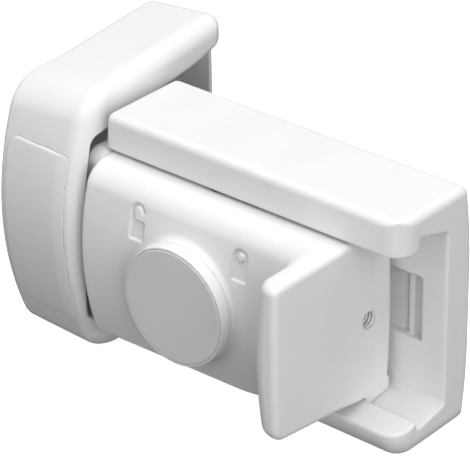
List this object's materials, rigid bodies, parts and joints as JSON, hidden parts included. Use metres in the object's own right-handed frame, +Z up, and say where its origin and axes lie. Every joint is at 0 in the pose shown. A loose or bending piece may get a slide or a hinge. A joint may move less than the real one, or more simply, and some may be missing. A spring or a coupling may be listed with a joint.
{
  "type": "stair gate latch",
  "caption": "White moulded safety-gate latch: a wall catch, a channel on the gate, a spring-loaded slider with finger wing and bolt, and a round turning lock knob.",
  "frame": {"origin": "middle of the wall plate's back face, which lies on the wall or post", "axes": "+X from the wall catch along the gate, +Y into the wall behind, +Z up"},
  "size_m": [0.1242, 0.078, 0.0809],
  "materials": {
    "white_moulding": "fine satin texture",
    "grey_inlay": "matte",
    "steel": "brushed",
    "zinc": "cast, plated",
    "nylon": "natural",
    "rubber": "matte"
  },
  "bodies": {
    "wall_catch": {"catch_shell": "white_moulding", "catch_panel": "white_moulding", "wall_plate": "steel", "shell_screw_lower": "steel", "shell_screw_upper": "steel", "keeper_block": "nylon", "keeper_strap": "steel", "keeper_screw_lower": "steel", "keeper_screw_upper": "steel", "catch_buffer": "rubber"},
    "gate_rail": {"rail_channel": "white_moulding", "spring_anchor": "zinc", "anchor_screw_left": "steel", "anchor_screw_right": "steel", "spring_rod": "steel"},
    "slider": {"slider_body": "white_moulding", "latch_bolt": "nylon", "slider_back_plate": "nylon", "back_plate_screw_1": "steel", "back_plate_screw_2": "steel", "back_plate_screw_3": "steel", "back_plate_screw_4": "steel", "slide_shoe_lower": "nylon", "slide_shoe_upper": "nylon", "return_spring": "steel", "lock_pin_spring": "steel"},
    "lock_knob": {"knob_boss": "white_moulding", "knob_disc": "grey_inlay", "lock_cam": "zinc", "cam_screw": "steel"},
    "lock_pin": {"lock_pin": "nylon"}
  },
  "joints": [
    {"name": "gate_open", "type": "slide", "parent": "wall_catch", "child": "gate_rail", "axis": [1, 0, 0], "range_m": [0, 0.06]},
    {"name": "slider_pull", "type": "slide", "parent": "gate_rail", "child": "slider", "axis": [1, 0, 0], "range_m": [0, 0.012], "stiffness_N_per_m": 250, "springref_m": -0.02, "deforming": ["return_spring"]},
    {"name": "lock_knob_turn", "type": "hinge", "parent": "slider", "child": "lock_knob", "pos_m": [0.05285, -0.066, -0.0048], "axis": [0, 1, 0], "range_deg": [0, 90]},
    {"name": "lock_pin_lift", "type": "slide", "parent": "slider", "child": "lock_pin", "axis": [0, 0, 1], "range_m": [0, 0.004], "stiffness_N_per_m": 0.02, "springref_m": 0.12, "deforming": ["lock_pin_spring"]}
  ],
  "couplings": [
    {"joint": "lock_pin_lift", "follows": "lock_knob_turn", "m_per_rad": 0.0025465}
  ]
}
